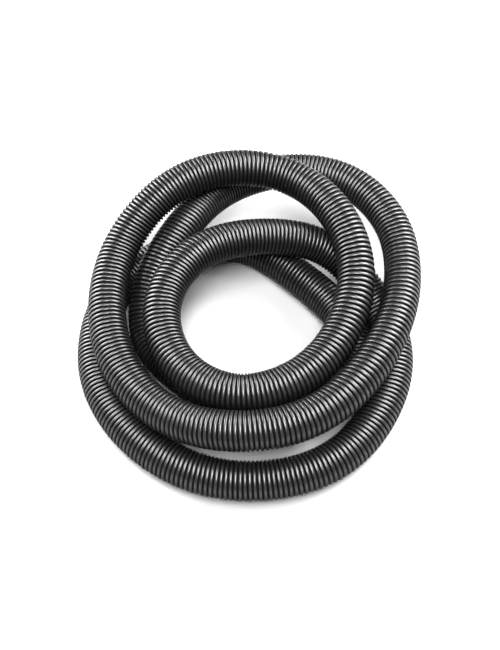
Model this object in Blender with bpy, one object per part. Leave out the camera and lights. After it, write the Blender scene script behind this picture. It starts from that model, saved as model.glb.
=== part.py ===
"""Vacuum hose of 32 mm bore and 3.1 m length, lying in a loose coil of three and a half turns.

One end carries a plain cuff and the other a swivel cuff. Both ends lie on the floor under the
turns. Everything is in metres, with +Z up and the floor at Z = 0.
"""

import math

import bmesh
import bpy
import numpy as np
from mathutils import Vector

# Hose
HOSE_OUTER_R = 0.019  # over the crowns of the ribs
HOSE_BORE_R = 0.016
POINT_SPACING = 0.038  # along the tube, between rings
HOSE_BEVEL_RESOLUTION = 4  # a tube of 12 sides

# Clearances
SEAT_GAP = 0.0003  # between faces that touch
RUNNING_GAP = 0.0003  # between faces that turn past each other

# What both cuffs share
ENTRY_RUN = 0.010  # straight hose behind a cuff
SOCKET_DEPTH = 0.024
SOCKET_ROOT_R = 0.0174  # the socket narrows towards its root, so that a tube wedges in it
SOCKET_MOUTH_R = 0.0180
MOUTH_WALL = 0.0028
STOP_THICKNESS = 0.003  # the inner lip that the hose or the seal butts against
TURNED_SIDES = 48

# Plain cuff
PLAIN_HOSE_DEPTH = 0.036  # how far the hose screws in
PLAIN_SLEEVE_WALL = 0.0019
PLAIN_RING_HEIGHT = 0.0006
PLAIN_RING_WIDTH = 0.003
PLAIN_RING_PITCH = 0.0065
PLAIN_RING_COUNT = 5
PLAIN_RING_START = 0.003  # from the cuff's rear edge to its first grip ring

# Swivel cuff
BUSH_HOSE_DEPTH = 0.026
BUSH_SLEEVE_WALL = 0.0012
FLANGE_HEIGHT = 0.0013
FLANGE_THICKNESS = 0.0035
BUSH_STOP = 0.003
SEAL_THICKNESS = 0.0024
SEAL_BORE_R = 0.0168
RETAINER_LENGTH = 0.0065
SKIRT_WALL = 0.0014
SKIRT_OVERHANG = 0.001  # the skirt reaches this far behind the retaining ring
SWIVEL_TAPER_LENGTH = 0.008

# The hose's centre line between its two cuffs, from the plain cuff to the swivel cuff
COIL_CENTRE = (0.00015, -0.00054)  # the middle of the whole object, in the numbers of ROUTE
ROUTE = [
    (-0.0570, -0.0770, 0.0220),
    (-0.1030, -0.0240, 0.0200),
    (-0.1015, 0.0370, 0.0415),
    (-0.0655, 0.1020, 0.0602),
    (-0.0230, 0.1560, 0.0513),
    (0.0425, 0.1790, 0.0515),
    (0.1080, 0.1595, 0.0545),
    (0.1500, 0.1050, 0.0505),
    (0.1560, 0.0360, 0.0525),
    (0.1390, -0.0315, 0.0600),
    (0.1045, -0.0915, 0.0620),
    (0.0520, -0.1365, 0.0645),
    (-0.0155, -0.1500, 0.0650),
    (-0.0790, -0.1265, 0.0530),
    (-0.1255, -0.0750, 0.0515),
    (-0.1440, -0.0085, 0.0560),
    (-0.1350, 0.0600, 0.0630),
    (-0.0945, 0.1085, 0.0885),
    (-0.0335, 0.1390, 0.0965),
    (0.0340, 0.1410, 0.0870),
    (0.0850, 0.0955, 0.0835),
    (0.1055, 0.0300, 0.0720),
    (0.0905, -0.0365, 0.0640),
    (0.0480, -0.0910, 0.0635),
    (-0.0170, -0.1110, 0.0655),
    (-0.0725, -0.0725, 0.0615),
    (-0.0865, -0.0055, 0.0670),
    (-0.0495, 0.0510, 0.0715),
    (0.0145, 0.0755, 0.0640),
    (0.0810, 0.0730, 0.0445),
    (0.1265, 0.0290, 0.0220),
    (0.1450, -0.0375, 0.0197),
    (0.1265, -0.1035, 0.0192),
    (0.0810, -0.1555, 0.0190),
    (0.0155, -0.1780, 0.0190),
    (-0.0530, -0.1700, 0.0190),
    (-0.1115, -0.1325, 0.0190),
    (-0.1495, -0.0745, 0.0190),
    (-0.1560, -0.0060, 0.0190),
    (-0.1300, 0.0575, 0.0190),
    (-0.0710, 0.0945, 0.0190),
    (-0.0030, 0.0955, 0.0191),
    (0.0525, 0.0550, 0.0195),
    (0.0965, -0.0005, 0.0200),
    (0.0960, -0.0670, 0.0240),
]
PLAIN_HEADING = math.radians(-38.0)  # the way each cuff's mouth faces, from +X towards +Y
SWIVEL_HEADING = math.radians(-133.0)


def heading(angle):
    return np.array([math.cos(angle), math.sin(angle), 0.0])


def spline_slopes(points, knots, start, end):
    """The slope at each point of the cubic spline through them, for given end slopes."""
    count, step = len(points), np.diff(knots)
    matrix, right = np.eye(count), np.zeros((count, 3))
    right[0], right[-1] = start, end
    for i in range(1, count - 1):
        matrix[i, i - 1 : i + 2] = step[i], 2 * (step[i - 1] + step[i]), step[i - 1]
        before = (points[i] - points[i - 1]) / step[i - 1]
        after = (points[i + 1] - points[i]) / step[i]
        right[i] = 3 * (step[i] * before + step[i - 1] * after)
    return np.linalg.solve(matrix, right)


def smooth_curve(points, start, end, samples_per_span=60):
    """Many points along the smooth curve through points, with the given directions at its ends."""
    points = np.array(points)
    knots = np.r_[0, np.cumsum(np.linalg.norm(np.diff(points, axis=0), axis=1))]
    slopes = spline_slopes(points, knots, start, end)
    pieces = []
    for i, step in enumerate(np.diff(knots)):
        t = np.linspace(0, 1, samples_per_span, endpoint=False)[:, None]
        pieces.append(
            (1 + 2 * t) * (1 - t) ** 2 * points[i]
            + t * (1 - t) ** 2 * step * slopes[i]
            + t**2 * (3 - 2 * t) * points[i + 1]
            + t**2 * (t - 1) * step * slopes[i + 1]
        )
    return np.vstack([*pieces, points[-1:]])


def evenly_spaced(line, spacing):
    """Points on line about spacing apart, its two ends among them."""
    along = np.r_[0, np.cumsum(np.linalg.norm(np.diff(line, axis=0), axis=1))]
    places = np.linspace(0, along[-1], round(along[-1] / spacing) + 1)
    return np.column_stack([np.interp(places, along, line[:, i]) for i in range(3)])


def plastic(name, colour, roughness):
    """A material of one plain colour, given in linear light."""
    material = bpy.data.materials.new(name)
    material.use_nodes = True
    shader = material.node_tree.nodes["Principled BSDF"]
    shader.inputs["Base Color"].default_value = (*colour, 1.0)
    shader.inputs["Roughness"].default_value = roughness
    shader.inputs["Metallic"].default_value = 0.0
    return material


def add_tube(name, line, material):
    """A solid tube with its rings at the points of line."""
    curve = bpy.data.curves.new(name, "CURVE")
    curve.dimensions = "3D"
    curve.twist_mode = "Z_UP"
    curve.bevel_depth = HOSE_OUTER_R
    curve.bevel_resolution = HOSE_BEVEL_RESOLUTION
    curve.use_fill_caps = True
    spline = curve.splines.new("POLY")
    spline.points.add(len(line) - 1)
    spline.points.foreach_set("co", np.column_stack([line, np.ones(len(line))]).ravel())
    spline.use_smooth = True
    curve.materials.append(material)
    tube = bpy.data.objects.new(name, curve)
    bpy.context.collection.objects.link(tube)
    return tube


def add_turned(name, outline, origin, direction, material):
    """Spins a closed outline of (distance along the axis, radius) points, as seen from its side.

    The piece's own +Z is its axis. It is placed with its origin at origin and +Z along direction.
    """
    mesh = bpy.data.meshes.new(name)
    shape = bmesh.new()
    corners = [shape.verts.new((radius, 0.0, along)) for along, radius in outline]
    edges = [shape.edges.new(pair) for pair in zip(corners, corners[1:] + corners[:1])]
    bmesh.ops.spin(
        shape,
        geom=corners + edges,
        axis=(0, 0, 1),
        cent=(0, 0, 0),
        angle=2 * math.pi,
        steps=TURNED_SIDES,
        use_merge=True,
    )
    bmesh.ops.remove_doubles(shape, verts=shape.verts, dist=1e-6)
    bmesh.ops.recalc_face_normals(shape, faces=shape.faces)
    shape.to_mesh(mesh)
    shape.free()
    mesh.shade_smooth()
    mesh.set_sharp_from_angle(angle=math.radians(30))
    mesh.materials.append(material)
    piece = bpy.data.objects.new(name, mesh)
    piece.location = origin
    piece.rotation_mode = "QUATERNION"
    piece.rotation_quaternion = Vector(direction).to_track_quat("Z", "Y")
    bpy.context.collection.objects.link(piece)
    return piece


def socket_outline(root, mouth):
    """The inside of a socket from its mouth back to its root, and in to the bore."""
    return [(mouth, SOCKET_MOUTH_R), (root, SOCKET_ROOT_R), (root, HOSE_BORE_R)]


def plain_cuff_outline():
    inner = HOSE_OUTER_R + SEAT_GAP
    outer = inner + PLAIN_SLEEVE_WALL
    stop = PLAIN_HOSE_DEPTH
    root = stop + STOP_THICKNESS
    mouth = root + SOCKET_DEPTH
    outline = [(0.0, inner), (0.0, outer)]
    for i in range(PLAIN_RING_COUNT):
        near = PLAIN_RING_START + i * PLAIN_RING_PITCH
        far = near + PLAIN_RING_WIDTH
        top = outer + PLAIN_RING_HEIGHT
        outline += [(near, outer), (near, top), (far, top), (far, outer)]
    outline += [(stop, outer), (mouth, SOCKET_MOUTH_R + MOUTH_WALL)]
    outline += socket_outline(root, mouth)
    outline += [(stop, HOSE_BORE_R), (stop, inner)]
    return outline


class SwivelFit:
    """The distances and radii at which the swivel's pieces meet, from the bush's rear edge."""

    sleeve_inner = HOSE_OUTER_R + SEAT_GAP
    sleeve_outer = sleeve_inner + BUSH_SLEEVE_WALL
    flange_r = sleeve_outer + FLANGE_HEIGHT
    bush_end = BUSH_HOSE_DEPTH + BUSH_STOP
    flange_rear = bush_end - FLANGE_THICKNESS
    seal_rear = bush_end + SEAT_GAP
    seal_front = seal_rear + SEAL_THICKNESS
    shoulder = seal_front + RUNNING_GAP
    chamber_r = flange_r + RUNNING_GAP
    retainer_front = flange_rear - RUNNING_GAP
    retainer_rear = retainer_front - RETAINER_LENGTH
    retainer_inner = sleeve_outer + RUNNING_GAP
    retainer_outer = chamber_r - SEAT_GAP
    skirt_rear = retainer_rear - SKIRT_OVERHANG
    skirt_outer = chamber_r + SKIRT_WALL
    socket_root = shoulder + STOP_THICKNESS
    mouth = socket_root + SOCKET_DEPTH


def swivel_bush_outline(fit):
    return [
        (0.0, fit.sleeve_inner),
        (0.0, fit.sleeve_outer),
        (fit.flange_rear, fit.sleeve_outer),
        (fit.flange_rear, fit.flange_r),
        (fit.bush_end, fit.flange_r),
        (fit.bush_end, HOSE_BORE_R),
        (BUSH_HOSE_DEPTH, HOSE_BORE_R),
        (BUSH_HOSE_DEPTH, fit.sleeve_inner),
    ]


def swivel_seal_outline(fit):
    outer = fit.flange_r
    return [
        (fit.seal_rear, SEAL_BORE_R),
        (fit.seal_rear, outer),
        (fit.seal_front, outer),
        (fit.seal_front, SEAL_BORE_R),
    ]


def retaining_ring_outline(fit):
    return [
        (fit.retainer_rear, fit.retainer_inner),
        (fit.retainer_rear, fit.retainer_outer),
        (fit.retainer_front, fit.retainer_outer),
        (fit.retainer_front, fit.retainer_inner),
    ]


def swivel_cuff_outline(fit):
    taper_start = fit.socket_root
    return [
        (fit.skirt_rear, fit.chamber_r),
        (fit.skirt_rear, fit.skirt_outer),
        (taper_start, fit.skirt_outer),
        (taper_start + SWIVEL_TAPER_LENGTH, SOCKET_ROOT_R + MOUTH_WALL),
        (fit.mouth, SOCKET_MOUTH_R + MOUTH_WALL),
        *socket_outline(fit.socket_root, fit.mouth),
        (fit.shoulder, HOSE_BORE_R),
        (fit.shoulder, fit.chamber_r),
    ]


def build():
    for leftover in list(bpy.data.objects):
        bpy.data.objects.remove(leftover)

    hose_black = plastic("hose_black", (0.020, 0.021, 0.022), 0.38)
    cuff_black = plastic("cuff_black", (0.016, 0.016, 0.017), 0.50)
    bush_grey = plastic("bush_grey", (0.035, 0.036, 0.038), 0.45)
    seal_rubber = plastic("seal_rubber", (0.010, 0.010, 0.010), 0.80)

    to_plain, to_swivel = heading(PLAIN_HEADING), heading(SWIVEL_HEADING)
    curve = smooth_curve(ROUTE, -to_plain, to_swivel) - (*COIL_CENTRE, 0.0)
    plain_rear = curve[0] + ENTRY_RUN * to_plain
    swivel_rear = curve[-1] + ENTRY_RUN * to_swivel
    plain_end = plain_rear + (PLAIN_HOSE_DEPTH - SEAT_GAP) * to_plain
    swivel_end = swivel_rear + (BUSH_HOSE_DEPTH - SEAT_GAP) * to_swivel
    line = evenly_spaced(curve, POINT_SPACING)
    add_tube("hose", np.vstack([plain_end, line, swivel_end]), hose_black)

    fit = SwivelFit()
    add_turned("plain_cuff", plain_cuff_outline(), plain_rear, to_plain, cuff_black)
    at_swivel = (swivel_rear, to_swivel)
    add_turned("swivel_bush", swivel_bush_outline(fit), *at_swivel, bush_grey)
    add_turned("swivel_seal", swivel_seal_outline(fit), *at_swivel, seal_rubber)
    cuff = add_turned("swivel_cuff", swivel_cuff_outline(fit), *at_swivel, cuff_black)
    ring = add_turned("retaining_ring", retaining_ring_outline(fit), *at_swivel, bush_grey)
    bpy.context.view_layer.update()
    ring.parent = cuff
    ring.matrix_parent_inverse = cuff.matrix_world.inverted()


build()
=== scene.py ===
"""Vacuum hose lying in a loose coil, with a plain cuff on one end and a swivel cuff on the other.

Lengths are in metres, except where a comment or a name says millimetres. +Z is up and the floor
is at Z = 0.
"""

import math

import bmesh
import bpy
import numpy as np
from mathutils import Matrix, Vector


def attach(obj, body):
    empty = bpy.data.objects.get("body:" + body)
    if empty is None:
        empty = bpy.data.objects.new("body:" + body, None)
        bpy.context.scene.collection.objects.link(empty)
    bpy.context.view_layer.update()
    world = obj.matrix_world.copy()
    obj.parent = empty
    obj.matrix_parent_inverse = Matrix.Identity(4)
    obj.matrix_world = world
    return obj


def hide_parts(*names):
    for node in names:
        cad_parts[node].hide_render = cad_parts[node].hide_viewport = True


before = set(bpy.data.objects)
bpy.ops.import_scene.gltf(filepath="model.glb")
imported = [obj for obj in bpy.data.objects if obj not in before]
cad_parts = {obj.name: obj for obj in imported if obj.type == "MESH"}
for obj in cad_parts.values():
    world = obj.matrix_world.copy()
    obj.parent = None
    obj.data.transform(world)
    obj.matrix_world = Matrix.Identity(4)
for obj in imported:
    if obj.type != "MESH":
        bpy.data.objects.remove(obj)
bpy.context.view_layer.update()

# Hose
RIB_CROWN_R = 0.0190
RIB_ROOT_R = 0.0174
HOSE_END_R = 0.0178  # the trimmed edge at each end
HOSE_BORE_R = 0.0160
HOSE_SIDES = 19
HOSE_INNER_SPACING = 0.015  # between the rings of the smooth inner wall
END_TRIM = 0.15  # how much of a rib is cut off flat at each end, as a share of one rib
ROUTE_SAMPLES = 60  # between two points of the route
STRAIGHT_SPACING = 0.002  # between the points of the straight ends
# How far apart the ribs stand, as (metres along the hose, millimetres from rib to rib)
RIB_SPACING = [
    (0.00, 4.5),
    (0.15, 4.4),
    (0.25, 4.1),
    (0.40, 4.3),
    (0.50, 4.8),
    (0.56, 5.6),
    (0.62, 6.1),
    (0.69, 5.4),
    (0.77, 5.2),
    (0.82, 4.6),
    (0.88, 3.9),
    (0.95, 4.6),
    (1.05, 4.4),
    (1.14, 5.0),
    (1.24, 4.0),
    (1.30, 4.3),
    (1.37, 5.2),
    (1.45, 4.8),
    (1.56, 5.6),
    (1.66, 4.6),
    (1.72, 3.8),
    (1.80, 4.7),
    (1.90, 4.4),
    (2.00, 4.3),
    (2.15, 4.6),
    (2.30, 4.7),
    (2.45, 4.2),
    (2.60, 4.4),
    (2.90, 4.4),
    (3.15, 4.5),
]
# One rib, as (share of the pitch, share of the rib's height)
RIB_PROFILE = [
    (0.00, 0.00),
    (0.16, 0.05),
    (0.22, 0.78),
    (0.34, 0.99),
    (0.66, 0.99),
    (0.78, 0.78),
    (0.84, 0.05),
]

# Clearances
SEAT_GAP = 0.0003
RUNNING_GAP = 0.0003

# What both cuffs share
ENTRY_RUN = 0.010
SOCKET_DEPTH = 0.024
SOCKET_ROOT_R = 0.0174
SOCKET_MOUTH_R = 0.0180
MOUTH_WALL = 0.0028
STOP_THICKNESS = 0.003
TURNED_SIDES = 96
EDGE_RADIUS = 0.0004
EDGE_STEPS = 3
LARGEST_EDGE_SHARE = 0.42  # of a side that one corner's rounding may take up

# Plain cuff
PLAIN_HOSE_DEPTH = 0.036
PLAIN_SLEEVE_WALL = 0.0019
PLAIN_RING_HEIGHT = 0.0006
PLAIN_RING_WIDTH = 0.003
PLAIN_RING_PITCH = 0.0065
PLAIN_RING_COUNT = 5
PLAIN_RING_START = 0.003
PLAIN_RING_SLOPE = 0.0004

# Swivel cuff
BUSH_HOSE_DEPTH = 0.026
BUSH_SLEEVE_WALL = 0.0012
FLANGE_HEIGHT = 0.0013
FLANGE_THICKNESS = 0.0035
BUSH_STOP = 0.003
SEAL_THICKNESS = 0.0024
SEAL_BORE_R = 0.0168
RETAINER_LENGTH = 0.0065
SKIRT_WALL = 0.0014
SKIRT_OVERHANG = 0.001
SWIVEL_TAPER_LENGTH = 0.008
FLUTE_COUNT = 30
FLUTE_SIDES = 6  # mesh sides to each flute
FLUTE_DEPTH = 0.0005
FLUTE_RUN_OUT = 0.002
FLUTE_REAR_MARGIN = 0.0025
FLUTE_FRONT_MARGIN = 0.003
SURFACE_TOLERANCE = 0.0001

# Room
CAMERA_PLACE = (-0.00432, -0.51491, 0.80249)
CAMERA_TILT = math.radians(33.0)
LENS_MM = 64.97
SENSOR_MM = 36.0
COIL_MIDDLE = (0.0, 0.0, 0.04)
LIGHT_DISTANCE = 1.6
FLOOR_R = 1.15
FLOOR_SIDES = 96
SURROUND_R = 20.0

# The hose's centre line between its two cuffs, from the plain cuff to the swivel cuff
COIL_CENTRE = (0.00015, -0.00054)
ROUTE = [
    (-0.0570, -0.0770, 0.0220),
    (-0.1030, -0.0240, 0.0200),
    (-0.1015, 0.0370, 0.0415),
    (-0.0655, 0.1020, 0.0602),
    (-0.0230, 0.1560, 0.0513),
    (0.0425, 0.1790, 0.0515),
    (0.1080, 0.1595, 0.0545),
    (0.1500, 0.1050, 0.0505),
    (0.1560, 0.0360, 0.0525),
    (0.1390, -0.0315, 0.0600),
    (0.1045, -0.0915, 0.0620),
    (0.0520, -0.1365, 0.0645),
    (-0.0155, -0.1500, 0.0650),
    (-0.0790, -0.1265, 0.0530),
    (-0.1255, -0.0750, 0.0515),
    (-0.1440, -0.0085, 0.0560),
    (-0.1350, 0.0600, 0.0630),
    (-0.0945, 0.1085, 0.0885),
    (-0.0335, 0.1390, 0.0965),
    (0.0340, 0.1410, 0.0870),
    (0.0850, 0.0955, 0.0835),
    (0.1055, 0.0300, 0.0720),
    (0.0905, -0.0365, 0.0640),
    (0.0480, -0.0910, 0.0635),
    (-0.0170, -0.1110, 0.0655),
    (-0.0725, -0.0725, 0.0615),
    (-0.0865, -0.0055, 0.0670),
    (-0.0495, 0.0510, 0.0715),
    (0.0145, 0.0755, 0.0640),
    (0.0810, 0.0730, 0.0445),
    (0.1265, 0.0290, 0.0220),
    (0.1450, -0.0375, 0.0197),
    (0.1265, -0.1035, 0.0192),
    (0.0810, -0.1555, 0.0190),
    (0.0155, -0.1780, 0.0190),
    (-0.0530, -0.1700, 0.0190),
    (-0.1115, -0.1325, 0.0190),
    (-0.1495, -0.0745, 0.0190),
    (-0.1560, -0.0060, 0.0190),
    (-0.1300, 0.0575, 0.0190),
    (-0.0710, 0.0945, 0.0190),
    (-0.0030, 0.0955, 0.0191),
    (0.0525, 0.0550, 0.0195),
    (0.0965, -0.0005, 0.0200),
    (0.0960, -0.0670, 0.0240),
]
PLAIN_HEADING = math.radians(-38.0)
SWIVEL_HEADING = math.radians(-133.0)


# ---------------------------------------------------------------- the hose's route


def heading(angle):
    return np.array([math.cos(angle), math.sin(angle), 0.0])


def spline_slopes(points, knots, start, end):
    """The slope at each point of the cubic spline through them, for given end slopes."""
    count, step = len(points), np.diff(knots)
    matrix, right = np.eye(count), np.zeros((count, 3))
    right[0], right[-1] = start, end
    for i in range(1, count - 1):
        matrix[i, i - 1 : i + 2] = step[i], 2 * (step[i - 1] + step[i]), step[i - 1]
        before = (points[i] - points[i - 1]) / step[i - 1]
        after = (points[i + 1] - points[i]) / step[i]
        right[i] = 3 * (step[i] * before + step[i - 1] * after)
    return np.linalg.solve(matrix, right)


def smooth_curve(points, start, end):
    """Many points along the smooth curve through points, with the given directions at its ends."""
    points = np.array(points)
    knots = np.r_[0, np.cumsum(np.linalg.norm(np.diff(points, axis=0), axis=1))]
    slopes = spline_slopes(points, knots, start, end)
    pieces = []
    for i, step in enumerate(np.diff(knots)):
        t = np.linspace(0, 1, ROUTE_SAMPLES, endpoint=False)[:, None]
        pieces.append(
            (1 + 2 * t) * (1 - t) ** 2 * points[i]
            + t * (1 - t) ** 2 * step * slopes[i]
            + t**2 * (3 - 2 * t) * points[i + 1]
            + t**2 * (t - 1) * step * slopes[i + 1]
        )
    return np.vstack([*pieces, points[-1:]])


def straight(start, end):
    """Points from start to end, without the end itself."""
    count = max(2, round(np.linalg.norm(end - start) / STRAIGHT_SPACING))
    return start + (end - start) * np.linspace(0, 1, count, endpoint=False)[:, None]


class HoseLine:
    """The hose's centre line, with two directions across it that turn as little as they can."""

    def __init__(self, points):
        self.points = points
        self.along = np.r_[0, np.cumsum(np.linalg.norm(np.diff(points, axis=0), axis=1))]
        self.length = self.along[-1]
        tangents = np.gradient(points, axis=0)
        tangents /= np.linalg.norm(tangents, axis=1)[:, None]
        across = np.zeros_like(points)
        side = np.cross(tangents[0], (0, 0, 1))
        for i, tangent in enumerate(tangents):
            side = side - tangent * (side @ tangent)
            side /= np.linalg.norm(side)
            across[i] = side
        self.across, self.other = across, np.cross(tangents, across)

    def at(self, values, places):
        return np.column_stack([np.interp(places, self.along, values[:, i]) for i in range(3)])

    def ring_points(self, places, angles, radii):
        """Where the points at these places along, angles round and radii lie."""
        cosine, sine = np.cos(angles)[:, None], np.sin(angles)[:, None]
        outward = self.at(self.across, places) * cosine + self.at(self.other, places) * sine
        return self.at(self.points, places) + outward * radii[:, None]


# ---------------------------------------------------------------- meshes


def add_mesh(name, points, faces, material, shares):
    """A smooth-shaded object, with one number for each point under each name in shares."""
    mesh = bpy.data.meshes.new(name)
    mesh.from_pydata([tuple(point) for point in points], [], faces)
    mesh.update()
    mesh.shade_smooth()
    for share_name, values in shares.items():
        layer = mesh.attributes.new(share_name, "FLOAT", "POINT")
        layer.data.foreach_set("value", np.asarray(values, dtype=np.float32))
    mesh.materials.append(material)
    piece = bpy.data.objects.new(name, mesh)
    bpy.context.collection.objects.link(piece)
    return piece


def count_ribs(length):
    """Places along the hose, and how many ribs there are from its start to each."""
    places, spacings = np.array(RIB_SPACING).T
    known = np.linspace(0, length, 2000)
    spacing = np.interp(known, places, spacings) / 1000
    between = np.diff(known) * (1 / spacing[1:] + 1 / spacing[:-1]) / 2
    return known, np.r_[0, np.cumsum(between)]


def ribbed_wall(line):
    """The outer wall: its mesh lines follow the ribs' one long helix, and both ends are square."""
    sides, samples = HOSE_SIDES, len(RIB_PROFILE)
    known, ribs_by_then = count_ribs(line.length)
    turns = math.ceil(ribs_by_then[-1]) + 2
    shares, heights = np.array(RIB_PROFILE).T
    rib_number = (np.arange(turns)[:, None] + shares).ravel() - 1.0
    rows = len(rib_number)
    rib_number = (rib_number[:, None] + np.arange(sides) / sides).ravel()
    places = np.interp(rib_number, ribs_by_then, known)
    angles = np.tile(2 * math.pi * np.arange(sides) / sides, rows)
    heights = np.repeat(np.tile(heights, turns), sides)
    starts, ends = rib_number < END_TRIM, rib_number > ribs_by_then[-1] - END_TRIM
    radii = RIB_ROOT_R + (RIB_CROWN_R - RIB_ROOT_R) * heights
    radii[starts | ends] = HOSE_END_R
    places[starts], places[ends] = 0, line.length
    points = line.ring_points(places, angles, radii)

    # Every point before the start is the start ring's point at its angle, and so at the end
    numbers = np.arange(rows * sides)
    column = numbers % sides
    start_ring = np.arange(sides)
    end_ring = (rows - 1) * sides + np.arange(sides)
    numbers[starts] = start_ring[column[starts]]
    numbers[ends] = end_ring[column[ends]]

    faces = []
    for row in range(rows - samples - 1):
        for side in range(sides):
            last = side == sides - 1
            here = row * sides + side
            beside = (row + samples) * sides if last else here + 1
            corners = numbers[[here, beside, beside + sides, here + sides]]
            corners = [c for k, c in enumerate(corners) if c != corners[k - 1]]
            if len(set(corners)) >= 3:
                faces.append(corners)
    return points, faces, start_ring, end_ring, heights


def add_hose(line, material):
    points, faces, start_ring, end_ring, heights = ribbed_wall(line)
    sides = HOSE_SIDES
    count = round(line.length / HOSE_INNER_SPACING)
    places = np.repeat(np.linspace(0, line.length, count + 1), sides)
    angles = np.tile(2 * math.pi * np.arange(sides) / sides, count + 1)
    inner = line.ring_points(places, angles, np.full(len(places), HOSE_BORE_R))
    first = len(points)
    for row in range(count):
        for side in range(sides):
            near, after = first + row * sides, (side + 1) % sides
            faces.append([near + side, near + sides + side, near + sides + after, near + after])
    last = first + count * sides
    for side in range(sides):
        after = (side + 1) % sides
        faces.append([start_ring[side], first + side, first + after, start_ring[after]])
        faces.append([end_ring[side], end_ring[after], last + after, last + side])

    points = np.vstack([points, inner])
    heights = np.r_[heights, np.zeros(len(inner))]
    used = np.unique(np.concatenate([np.array(face) for face in faces]))
    new_number = np.full(len(points), -1)
    new_number[used] = np.arange(len(used))
    faces = [[int(new_number[corner]) for corner in reversed(face)] for face in faces]
    return add_mesh("ribbed_hose", points[used], faces, material, {"crown": heights[used]})


def rounded(outline):
    """The closed outline with an arc at each corner, and how near each point is to its corner."""
    points, sharpness = [], []
    outline = [np.array(corner) for corner in outline]
    for i, corner in enumerate(outline):
        before, after = outline[i - 1] - corner, outline[(i + 1) % len(outline)] - corner
        reach_before, reach_after = np.linalg.norm(before), np.linalg.norm(after)
        cut = min(EDGE_RADIUS, LARGEST_EDGE_SHARE * min(reach_before, reach_after))
        start, end = corner + before / reach_before * cut, corner + after / reach_after * cut
        for t in np.linspace(0, 1, EDGE_STEPS + 1):
            points.append((1 - t) ** 2 * start + 2 * t * (1 - t) * corner + t**2 * end)
            sharpness.append(1 - abs(2 * t - 1))
    return np.array(points), np.array(sharpness)


def add_turned(name, outline, place, material, flutes=None):
    """Spins a closed outline of (distance along the axis, radius) about the axis at place.

    flutes says where the grip flutes start and end along the axis, and the radius that they
    are cut into.
    """
    profile, sharpness = rounded(outline)
    sides = FLUTE_SIDES * FLUTE_COUNT if flutes else TURNED_SIDES
    angles = 2 * math.pi * np.arange(sides) / sides
    along = np.repeat(profile[:, 0], sides)
    radii = np.repeat(profile[:, 1], sides)
    if flutes:
        start, end, surface = flutes
        reach = np.clip(np.minimum(along - start, end - along) / FLUTE_RUN_OUT, 0, 1)
        reach *= radii > surface - SURFACE_TOLERANCE
        wave = np.tile(0.5 + 0.5 * np.cos(FLUTE_COUNT * angles), len(profile))
        radii = radii - FLUTE_DEPTH * reach * wave**2
    angle = np.tile(angles, len(profile))
    origin, direction = place
    turn = Vector(direction).to_track_quat("Z", "Y").to_matrix()
    points = np.column_stack([radii * np.cos(angle), radii * np.sin(angle), along])
    points = points @ np.array(turn).T + origin
    faces = []
    for row in range(len(profile)):
        near, far = row * sides, (row + 1) % len(profile) * sides
        for side in range(sides):
            after = (side + 1) % sides
            faces.append([near + side, near + after, far + after, far + side])
    return add_mesh(name, points, faces, material, {"edge": np.repeat(sharpness, sides)})


# ---------------------------------------------------------------- outlines of the turned pieces


def socket_outline(root, mouth):
    return [(mouth, SOCKET_MOUTH_R), (root, SOCKET_ROOT_R), (root, HOSE_BORE_R)]


def plain_cuff_outline():
    inner = RIB_CROWN_R + SEAT_GAP
    outer = inner + PLAIN_SLEEVE_WALL
    stop = PLAIN_HOSE_DEPTH
    root = stop + STOP_THICKNESS
    mouth = root + SOCKET_DEPTH
    outline = [(0.0, inner), (0.0, outer)]
    for i in range(PLAIN_RING_COUNT):
        near = PLAIN_RING_START + i * PLAIN_RING_PITCH
        far = near + PLAIN_RING_WIDTH
        top = outer + PLAIN_RING_HEIGHT
        outline += [(near, outer), (near + PLAIN_RING_SLOPE, top)]
        outline += [(far - PLAIN_RING_SLOPE, top), (far, outer)]
    outline += [(stop, outer), (mouth, SOCKET_MOUTH_R + MOUTH_WALL)]
    outline += socket_outline(root, mouth)
    outline += [(stop, HOSE_BORE_R), (stop, inner)]
    return outline


class SwivelFit:
    """The distances and radii at which the swivel's pieces meet, from the bush's rear edge."""

    sleeve_inner = RIB_CROWN_R + SEAT_GAP
    sleeve_outer = sleeve_inner + BUSH_SLEEVE_WALL
    flange_r = sleeve_outer + FLANGE_HEIGHT
    bush_end = BUSH_HOSE_DEPTH + BUSH_STOP
    flange_rear = bush_end - FLANGE_THICKNESS
    seal_rear = bush_end + SEAT_GAP
    seal_front = seal_rear + SEAL_THICKNESS
    shoulder = seal_front + RUNNING_GAP
    chamber_r = flange_r + RUNNING_GAP
    retainer_front = flange_rear - RUNNING_GAP
    retainer_rear = retainer_front - RETAINER_LENGTH
    retainer_inner = sleeve_outer + RUNNING_GAP
    retainer_outer = chamber_r - SEAT_GAP
    skirt_rear = retainer_rear - SKIRT_OVERHANG
    skirt_outer = chamber_r + SKIRT_WALL
    socket_root = shoulder + STOP_THICKNESS
    mouth = socket_root + SOCKET_DEPTH
    flutes_start = skirt_rear + FLUTE_REAR_MARGIN
    flutes_end = socket_root - FLUTE_FRONT_MARGIN


def swivel_bush_outline(fit):
    return [
        (0.0, fit.sleeve_inner),
        (0.0, fit.sleeve_outer),
        (fit.flange_rear, fit.sleeve_outer),
        (fit.flange_rear, fit.flange_r),
        (fit.bush_end, fit.flange_r),
        (fit.bush_end, HOSE_BORE_R),
        (BUSH_HOSE_DEPTH, HOSE_BORE_R),
        (BUSH_HOSE_DEPTH, fit.sleeve_inner),
    ]


def swivel_seal_outline(fit):
    middle = (SEAL_BORE_R + fit.flange_r) / 2
    return [
        (fit.seal_rear, SEAL_BORE_R),
        (fit.seal_rear, middle),
        (fit.seal_rear, fit.flange_r),
        (fit.seal_front, fit.flange_r),
        (fit.seal_front, middle),
        (fit.seal_front, SEAL_BORE_R),
    ]


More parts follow.
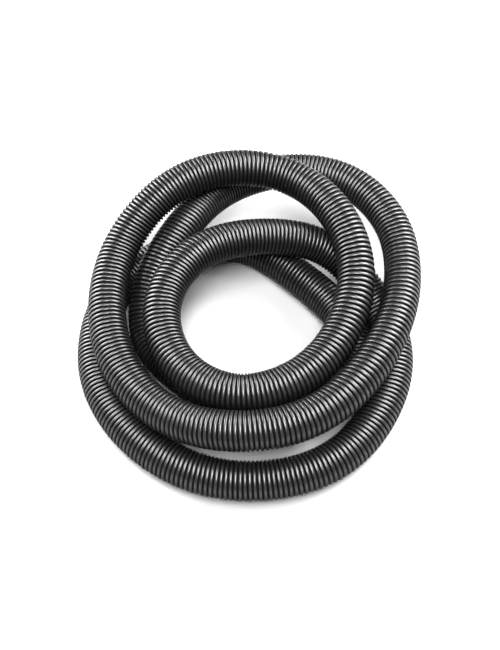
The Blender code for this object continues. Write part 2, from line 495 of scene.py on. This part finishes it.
def retaining_ring_outline(fit):
    return [
        (fit.retainer_rear, fit.retainer_inner),
        (fit.retainer_rear, fit.retainer_outer),
        (fit.retainer_front, fit.retainer_outer),
        (fit.retainer_front, fit.retainer_inner),
    ]


def swivel_cuff_outline(fit):
    return [
        (fit.skirt_rear, fit.chamber_r),
        (fit.skirt_rear, fit.skirt_outer),
        (fit.flutes_start, fit.skirt_outer),
        (fit.flutes_start + FLUTE_RUN_OUT, fit.skirt_outer),
        (fit.flutes_start + 2.5 * FLUTE_RUN_OUT, fit.skirt_outer),
        (fit.flutes_end - 1.25 * FLUTE_RUN_OUT, fit.skirt_outer),
        (fit.flutes_end, fit.skirt_outer),
        (fit.socket_root, fit.skirt_outer),
        (fit.socket_root + SWIVEL_TAPER_LENGTH, SOCKET_ROOT_R + MOUTH_WALL),
        (fit.mouth, SOCKET_MOUTH_R + MOUTH_WALL),
        *socket_outline(fit.socket_root, fit.mouth),
        (fit.shoulder, HOSE_BORE_R),
        (fit.shoulder, fit.chamber_r),
    ]


# ---------------------------------------------------------------- finishes


class Link:
    """An output socket. Sums written on it become Math nodes, and take numbers or other links."""

    def __init__(self, finish, socket):
        self.finish, self.socket = finish, socket

    def math(self, operation, *terms):
        return self.finish.node("ShaderNodeMath", {"operation": operation}, dict(enumerate(terms)))

    def __add__(self, other):
        return self.math("ADD", self, other)

    def __sub__(self, other):
        return self.math("SUBTRACT", self, other)

    def __mul__(self, other):
        return self.math("MULTIPLY", self, other)

    def __rsub__(self, other):
        return self.math("SUBTRACT", other, self)

    __radd__ = __add__
    __rmul__ = __mul__


class Finish:
    """One material and the nodes that vary it over a surface."""

    def __init__(self, name, roughness, specular=0.5, coat=None):
        self.material = bpy.data.materials.new(name)
        self.material.use_nodes = True
        self.tree = self.material.node_tree
        self.surface = self.tree.nodes["Principled BSDF"]
        self.surface.inputs["Roughness"].default_value = roughness
        self.surface.inputs["Metallic"].default_value = 0.0
        self.surface.inputs["Specular IOR Level"].default_value = specular
        if coat:
            self.surface.inputs["Coat Roughness"].default_value = coat[0]
            self.surface.inputs["Coat IOR"].default_value = coat[1]

    def feed(self, socket, value):
        if isinstance(value, Link):
            self.tree.links.new(value.socket, socket)
        else:
            socket.default_value = value

    def node(self, kind, settings=None, inputs=None, output=0):
        """Adds a node: its settings and a ramp's stops first, then the values or links it takes."""
        made = self.tree.nodes.new(kind)
        settings = dict(settings or {})
        stops = settings.pop("stops", None)
        for name, value in settings.items():
            setattr(made, name, value)
        if stops:
            ramp = made.color_ramp
            while len(ramp.elements) < len(stops):
                ramp.elements.new(0.5)
            for element, (position, shade) in zip(ramp.elements, stops):
                element.position = position
                element.color = (shade, shade, shade, 1.0)
        for name, value in (inputs or {}).items():
            self.feed(made.inputs[name], value)
        return Link(self, made.outputs[output])

    def place(self):
        return self.node("ShaderNodeTexCoord", output="Object")

    def share(self, name):
        return self.node("ShaderNodeAttribute", {"attribute_name": name}, output="Fac")

    def facing_up(self):
        """How far the surface faces up: 1 on top, 0 at the sides and -1 underneath."""
        normal = self.node("ShaderNodeNewGeometry", output="Normal")
        return self.node("ShaderNodeSeparateXYZ", {}, {"Vector": normal}, output="Z")

    def noise(self, scale, detail, distortion=0.0, place=None):
        inputs = {"Vector": place or self.place(), "Scale": scale, "Detail": detail}
        inputs["Distortion"] = distortion
        return self.node("ShaderNodeTexNoise", {}, inputs)

    def ramp(self, value, stops):
        return self.node("ShaderNodeValToRGB", {"stops": stops}, {"Fac": value})

    def stretched(self, stretch):
        settings = {"vector_type": "POINT"}
        return self.node("ShaderNodeMapping", settings, {"Vector": self.place(), "Scale": stretch})

    def blend(self, share, first, second):
        """A colour between first and second."""
        settings = {"data_type": "RGBA"}
        inputs = {0: share, 6: first, 7: second}
        return self.node("ShaderNodeMix", settings, inputs, output=2)

    def colour(self, value):
        self.feed(self.surface.inputs["Base Color"], value)

    def roughness(self, value):
        self.feed(self.surface.inputs["Roughness"], value)

    def coat(self, value):
        self.feed(self.surface.inputs["Coat Weight"], value)

    def bump(self, height, strength, distance):
        inputs = {"Height": height, "Strength": strength, "Distance": distance}
        self.feed(self.surface.inputs["Normal"], self.node("ShaderNodeBump", {}, inputs))


def hose_plastic():
    """Black polyethylene: satin crowns with light scuffs, rougher in the grooves. The gloss coat is
    left off the grooves and faded out underneath: painted shade.
    """
    finish = Finish("hose_plastic", 0.45, 0.05, coat=(0.38, 2.05))
    crown = finish.share("crown")
    cloudy = finish.noise(14.0, 3.0)
    fine = finish.noise(1400.0, 2.0)
    settling = finish.ramp(finish.noise(60.0, 4.0), [(0.42, 0.0), (0.72, 1.0)])
    scuffs = finish.ramp(finish.noise(230.0, 5.0, 1.2), [(0.60, 0.0), (0.72, 1.0)])
    dust = crown * settling * 0.06
    rubbed = crown * scuffs
    body = finish.blend(cloudy, (0.0030, 0.0033, 0.0036, 1), (0.0055, 0.0058, 0.0062, 1))
    worn = finish.blend(rubbed * 0.30, body, (0.060, 0.060, 0.062, 1))
    finish.colour(finish.blend(dust, worn, (0.085, 0.082, 0.078, 1)))
    finish.roughness(0.36 + cloudy * 0.12 + (1 - crown) * 0.30 + rubbed * 0.14)
    # Painted shade in the grooves: the gloss coat stays on the rib crowns only, so the grooves stay
    # black.
    gloss_cut_for_groove_shade = finish.ramp(crown, [(0.62, 0.0), (0.90, 1.0)])
    # Painted shade underneath: the gloss coat fades out where the surface faces down.
    painted_underside_shade = finish.ramp(finish.facing_up() * 0.5 + 0.5, [(0.55, 0.15), (0.82, 1.0)])
    finish.coat(gloss_cut_for_groove_shade * painted_underside_shade * (0.95 - rubbed * 0.35 - cloudy * 0.12))
    finish.bump(fine + scuffs * 0.6, 0.16, 0.00012)
    return finish.material


def moulded_black():
    """Injection-moulded cuffs: a fine spark-eroded grain, paler where the edges have rubbed."""
    finish = Finish("moulded_black", 0.5)
    edge = finish.share("edge")
    cloudy = finish.noise(30.0, 3.0)
    grain = finish.noise(2600.0, 2.0)
    rubbing = finish.ramp(finish.noise(160.0, 4.0), [(0.42, 0.0), (0.60, 1.0)])
    scratches = finish.noise(90.0, 6.0, 2.0, finish.stretched((1.0, 6.0, 1.0)))
    scratches = finish.ramp(scratches, [(0.62, 0.0), (0.70, 1.0)])
    body = finish.blend(cloudy, (0.012, 0.012, 0.013, 1), (0.020, 0.020, 0.021, 1))
    worn = finish.blend(edge * rubbing * 0.45, body, (0.070, 0.070, 0.072, 1))
    finish.colour(finish.blend(scratches * 0.20, worn, (0.060, 0.060, 0.062, 1)))
    finish.roughness(0.42 + cloudy * 0.14 + scratches * 0.12 - edge * rubbing * 0.12)
    finish.bump(grain + scratches * 0.8, 0.30, 0.00010)
    return finish.material


def bush_grey():
    """The slippery grey plastic that the swivel turns on, with fine turning marks."""
    finish = Finish("bush_grey", 0.4)
    edge = finish.share("edge")
    cloudy = finish.noise(50.0, 3.0)
    grain = finish.noise(1800.0, 3.0)
    body = finish.blend(cloudy, (0.030, 0.031, 0.033, 1), (0.046, 0.047, 0.050, 1))
    finish.colour(finish.blend(edge * 0.35, body, (0.100, 0.102, 0.106, 1)))
    finish.roughness(0.34 + cloudy * 0.14 + grain * 0.06)
    finish.bump(grain, 0.15, 0.00008)
    return finish.material


def seal_rubber():
    """Matt black rubber with a faint bloom."""
    finish = Finish("seal_rubber", 0.8, 0.35)
    bloom = finish.ramp(finish.noise(120.0, 5.0), [(0.45, 0.0), (0.75, 1.0)])
    grain = finish.noise(1500.0, 3.0)
    finish.colour(finish.blend(bloom * 0.5, (0.008, 0.008, 0.008, 1), (0.035, 0.035, 0.035, 1)))
    finish.roughness(0.70 + bloom * 0.18)
    finish.bump(grain, 0.35, 0.00012)
    return finish.material


def floor_white():
    finish = Finish("floor_white", 0.85, 0.1)
    cloudy = finish.noise(3.0, 2.0)
    finish.colour(finish.blend(cloudy, (0.58, 0.58, 0.58, 1), (0.60, 0.60, 0.60, 1)))
    return finish.material


def surround_white():
    finish = Finish("surround_white", 1.0, 0.0)
    finish.surface.inputs["Base Color"].default_value = (0.0, 0.0, 0.0, 1.0)
    finish.surface.inputs["Emission Color"].default_value = (1.0, 1.0, 1.0, 1.0)
    finish.surface.inputs["Emission Strength"].default_value = 1.0
    return finish.material


# ---------------------------------------------------------------- the room


def add_camera():
    lens = bpy.data.cameras.new("camera")
    lens.sensor_fit = "HORIZONTAL"
    lens.sensor_width = SENSOR_MM
    lens.lens = LENS_MM
    lens.shift_x = 0.006
    lens.shift_y = 0.002
    lens.clip_start = 0.01
    camera = bpy.data.objects.new("camera", lens)
    camera.location = CAMERA_PLACE
    camera.rotation_euler = (CAMERA_TILT, 0.0, 0.0)
    bpy.context.collection.objects.link(camera)
    bpy.context.scene.camera = camera


def add_softbox(name, direction, size, power):
    """A soft light in a direction from the coil, facing it."""
    light = bpy.data.lights.new(name, "AREA")
    light.shape = "RECTANGLE"
    light.size, light.size_y = size
    light.energy = power
    lamp = bpy.data.objects.new(name, light)
    away = Vector(direction).normalized()
    lamp.location = Vector(COIL_MIDDLE) + away * LIGHT_DISTANCE
    lamp.rotation_euler = away.to_track_quat("Z", "Y").to_euler()
    bpy.context.collection.objects.link(lamp)


def light_the_room():
    world = bpy.data.worlds.new("room")
    world.use_nodes = True
    background = world.node_tree.nodes["Background"]
    background.inputs["Color"].default_value = (1.0, 1.0, 1.0, 1.0)
    background.inputs["Strength"].default_value = 0.05
    bpy.context.scene.world = world
    add_softbox("overhead", (0.0, -0.29, 0.96), (0.60, 1.00), 46.0)
    add_softbox("right_back", (0.66, 0.42, 0.58), (0.9, 1.1), 52.0)
    add_softbox("left_back", (-0.78, 0.45, 0.40), (0.8, 1.1), 46.0)
    bpy.context.scene.view_settings.view_transform = "Standard"


def add_floor():
    """A round pale floor, with a white surround behind it that only the camera sees."""
    turns = np.linspace(0, 2 * math.pi, FLOOR_SIDES, endpoint=False)
    rim = [(FLOOR_R * math.cos(turn), FLOOR_R * math.sin(turn), 0.0) for turn in turns]
    mesh = bpy.data.meshes.new("floor")
    mesh.from_pydata(rim, [], [list(range(len(rim)))])
    mesh.materials.append(floor_white())
    floor = bpy.data.objects.new("floor", mesh)

    shell = bpy.data.meshes.new("surround")
    shape = bmesh.new()
    bmesh.ops.create_uvsphere(shape, u_segments=48, v_segments=24, radius=SURROUND_R)
    shape.to_mesh(shell)
    shape.free()
    shell.materials.append(surround_white())
    surround = bpy.data.objects.new("surround", shell)
    surround.visible_diffuse = False
    surround.visible_glossy = False
    surround.visible_transmission = False
    surround.visible_shadow = False
    for stage in (floor, surround):
        bpy.context.collection.objects.link(stage)


# ---------------------------------------------------------------- everything together

add_camera()

to_plain, to_swivel = heading(PLAIN_HEADING), heading(SWIVEL_HEADING)
curve = smooth_curve(ROUTE, -to_plain, to_swivel) - (*COIL_CENTRE, 0.0)
plain_rear = curve[0] + ENTRY_RUN * to_plain
swivel_rear = curve[-1] + ENTRY_RUN * to_swivel
plain_end = plain_rear + (PLAIN_HOSE_DEPTH - SEAT_GAP) * to_plain
swivel_end = swivel_rear + (BUSH_HOSE_DEPTH - SEAT_GAP) * to_swivel
swivel_run = straight(swivel_end, curve[-1])[::-1]
centre = np.vstack([straight(plain_end, curve[0]), curve, swivel_run])
line = HoseLine(centre)

hose = add_hose(line, hose_plastic())
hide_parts("hose")
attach(hose, "coil")

cuff_finish, bush_finish = moulded_black(), bush_grey()
fit = SwivelFit()
at_plain, at_swivel = (plain_rear, to_plain), (swivel_rear, to_swivel)

plain_cuff = add_turned("plain_end_cuff", plain_cuff_outline(), at_plain, cuff_finish)
bush = add_turned("swivel_bush_sleeve", swivel_bush_outline(fit), at_swivel, bush_finish)
seal = add_turned("swivel_seal_ring", swivel_seal_outline(fit), at_swivel, seal_rubber())
grip = (fit.flutes_start, fit.flutes_end, fit.skirt_outer)
swivel_cuff = add_turned(
    "swivel_end_cuff", swivel_cuff_outline(fit), at_swivel, cuff_finish, flutes=grip
)
ring = add_turned("retaining_collar", retaining_ring_outline(fit), at_swivel, bush_finish)

pieces = [
    (plain_cuff, "plain_cuff", "coil", "cuff_black"),
    (bush, "swivel_bush", "coil", "bush_grey"),
    (seal, "swivel_seal", "coil", "seal_rubber"),
    (swivel_cuff, "swivel_cuff", "swivel", "cuff_black"),
    (ring, "retaining_ring", "swivel", "bush_grey"),
]
for piece, node, body, slot in pieces:
    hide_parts(node)
    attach(piece, body)

add_floor()
light_the_room()
